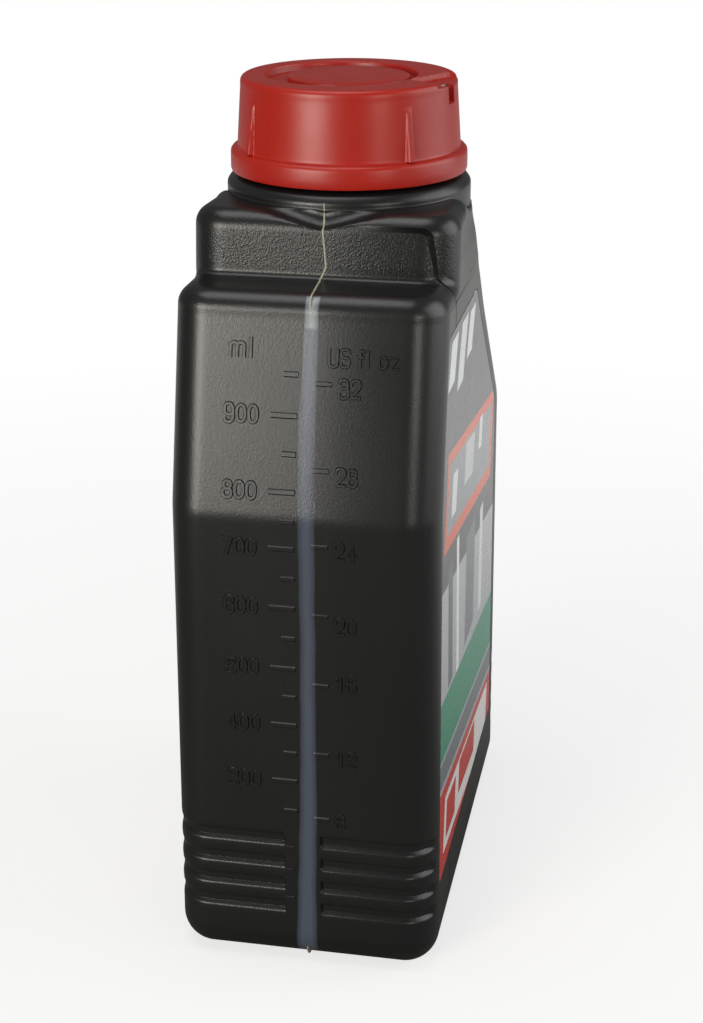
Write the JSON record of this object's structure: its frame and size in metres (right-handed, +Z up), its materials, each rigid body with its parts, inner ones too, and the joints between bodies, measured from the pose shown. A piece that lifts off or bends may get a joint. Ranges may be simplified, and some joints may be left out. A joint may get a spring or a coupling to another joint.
{
  "type": "fork oil bottle",
  "caption": "Black blow-moulded oil bottle with a see-through level stripe, stepped and sloping shoulders, moulded grip grooves, labels and a red screw cap.",
  "frame": {"origin": "centre of the resting base, on the plane it stands on; the neck axis passes through it", "axes": "+Z up along the neck axis; -X towards the narrow side with the level stripe and the scale; -Y towards the front label"},
  "size_m": [0.117, 0.0626, 0.202],
  "materials": {
    "black_body": "satin, fine moulded grain",
    "oil_fill": "clear liquid",
    "front_print": "gloss film label with fields of colour",
    "back_print": "gloss film label with fields of colour",
    "liner_foam": "matte",
    "pale_insert": "satin",
    "red_cap": "satin"
  },
  "bodies": {
    "body": {"bottle": "black_body", "oil": "oil_fill", "front_label": "front_print", "back_label": "back_print"},
    "liner": {"cap_liner": "liner_foam"},
    "cap": {"cap_inner": "pale_insert", "cap_shell": "red_cap"}
  },
  "joints": [
    {"name": "cap_rise", "type": "slide", "parent": "body", "child": "liner", "axis": [0, 0, 1], "range_m": [0, 0.00701]},
    {"name": "cap_turn", "type": "hinge", "parent": "liner", "child": "cap", "pos_m": [0, 0, 0.19], "axis": [0, 0, 1], "range_deg": [0, 630]}
  ],
  "couplings": [
    {"joint": "cap_rise", "follows": "cap_turn", "m_per_rad": 0.00063662}
  ]
}
